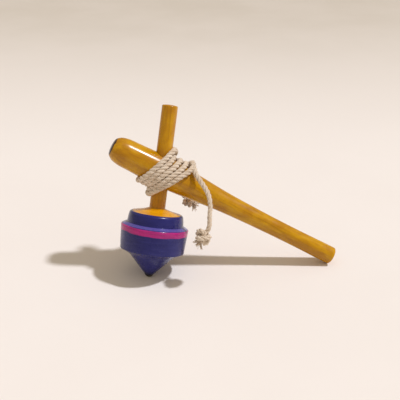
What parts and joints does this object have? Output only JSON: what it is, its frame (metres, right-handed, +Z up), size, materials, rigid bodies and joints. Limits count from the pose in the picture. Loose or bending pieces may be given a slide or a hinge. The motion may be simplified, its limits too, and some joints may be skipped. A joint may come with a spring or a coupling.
{
  "type": "spinning top",
  "caption": "Turned wooden spinning top whose long stem runs through a slanted hole in a tapered wooden handle, with a cotton cord lashed round the crossing.",
  "frame": {"origin": "on the ground at the middle of the object's box, measured without the cord", "axes": "+Z up, +X towards the handle's thin end, +Y away from the front; the top stands on its point and the handle's thin end rests on the ground"},
  "size_m": [0.1771, 0.0647, 0.1265],
  "materials": {
    "point_steel": "dull dark steel",
    "body_lacquer": "glossy blue lacquer on turned wood, with a magenta band and a yellow crown",
    "stem_lacquer": "glossy amber lacquer on turned wood",
    "handle_lacquer": "glossy ochre lacquer on turned wood, dark at the head's end",
    "cotton_cord": "undyed three-strand cotton cord"
  },
  "bodies": {
    "point": {"spinning_point": "point_steel"},
    "top": {"top_body": "body_lacquer", "stem": "stem_lacquer"},
    "handle": {"handle": "handle_lacquer", "cord_lashing": "cotton_cord", "cord_front_tail": "cotton_cord", "cord_front_knot": "cotton_cord", "cord_back_tail": "cotton_cord", "cord_back_knot": "cotton_cord"}
  },
  "joints": [
    {"name": "top_spin", "type": "hinge", "parent": "point", "child": "top", "pos_m": [-0.05908, -0.01599, 0.00023], "axis": [0.1303, 0.3225, 0.9375], "continuous": true},
    {"name": "handle_lift", "type": "slide", "parent": "point", "child": "handle", "axis": [0.1303, 0.3225, 0.9375], "range_m": [0, 0.08]}
  ]
}
